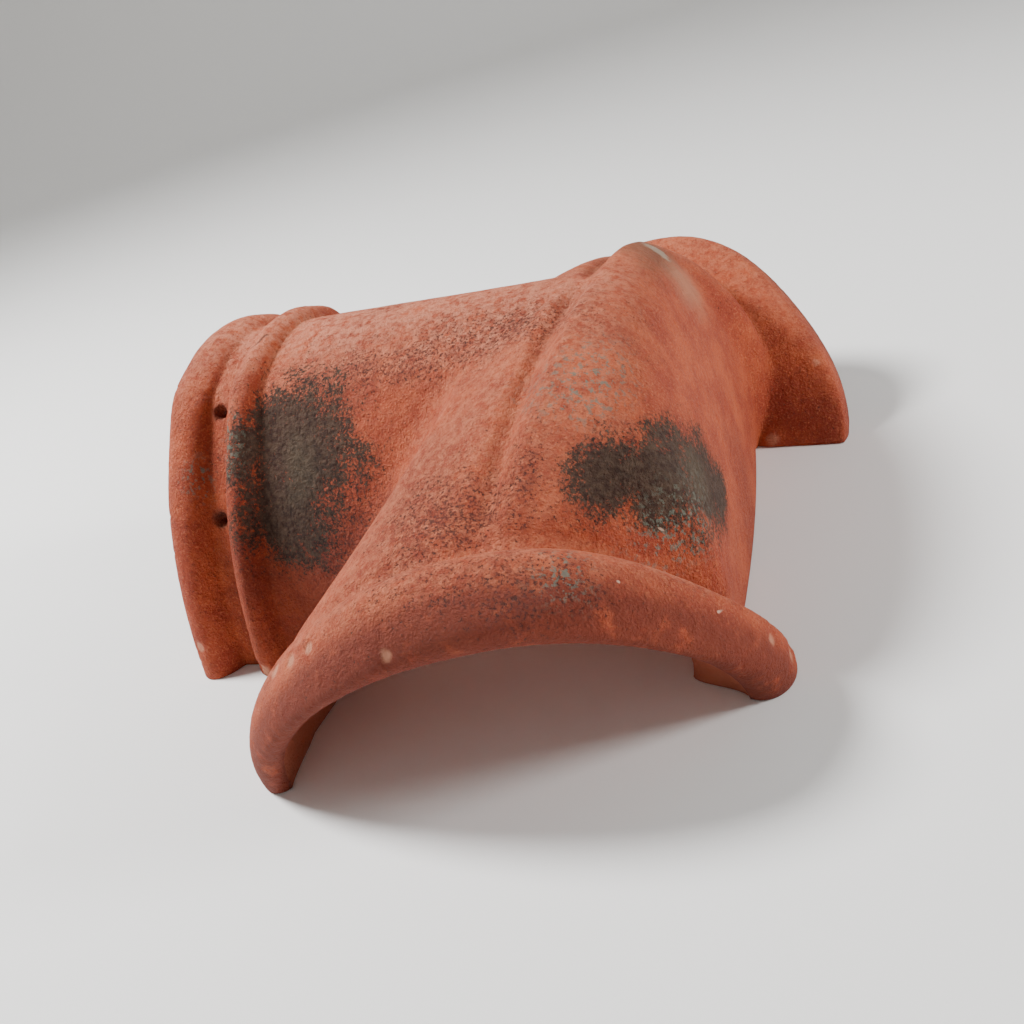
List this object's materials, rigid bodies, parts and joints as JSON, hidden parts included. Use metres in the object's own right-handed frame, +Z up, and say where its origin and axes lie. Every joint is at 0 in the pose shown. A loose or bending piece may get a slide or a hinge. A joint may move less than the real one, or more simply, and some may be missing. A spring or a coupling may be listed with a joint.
{
  "type": "three-way hip ridge tile",
  "caption": "Hollow fired-clay roof tile joining a ridge arm with a rolled collar to two hip arms with thick-lipped bell mouths.",
  "frame": {"origin": "middle of the tile's box at its underside, on the plane of the bedding edges", "axes": "+Z up from the bedding edges; -X along the ridge arm to its collar; +X out of the long hip-end panel; the two hip arms run towards -Y and +Y, and y = 0 is the mirror plane"},
  "size_m": [0.3558, 0.4782, 0.175],
  "materials": {
    "fired_clay": "matte"
  },
  "bodies": {
    "root": {"ridge_tile": "fired_clay"}
  },
  "joints": []
}
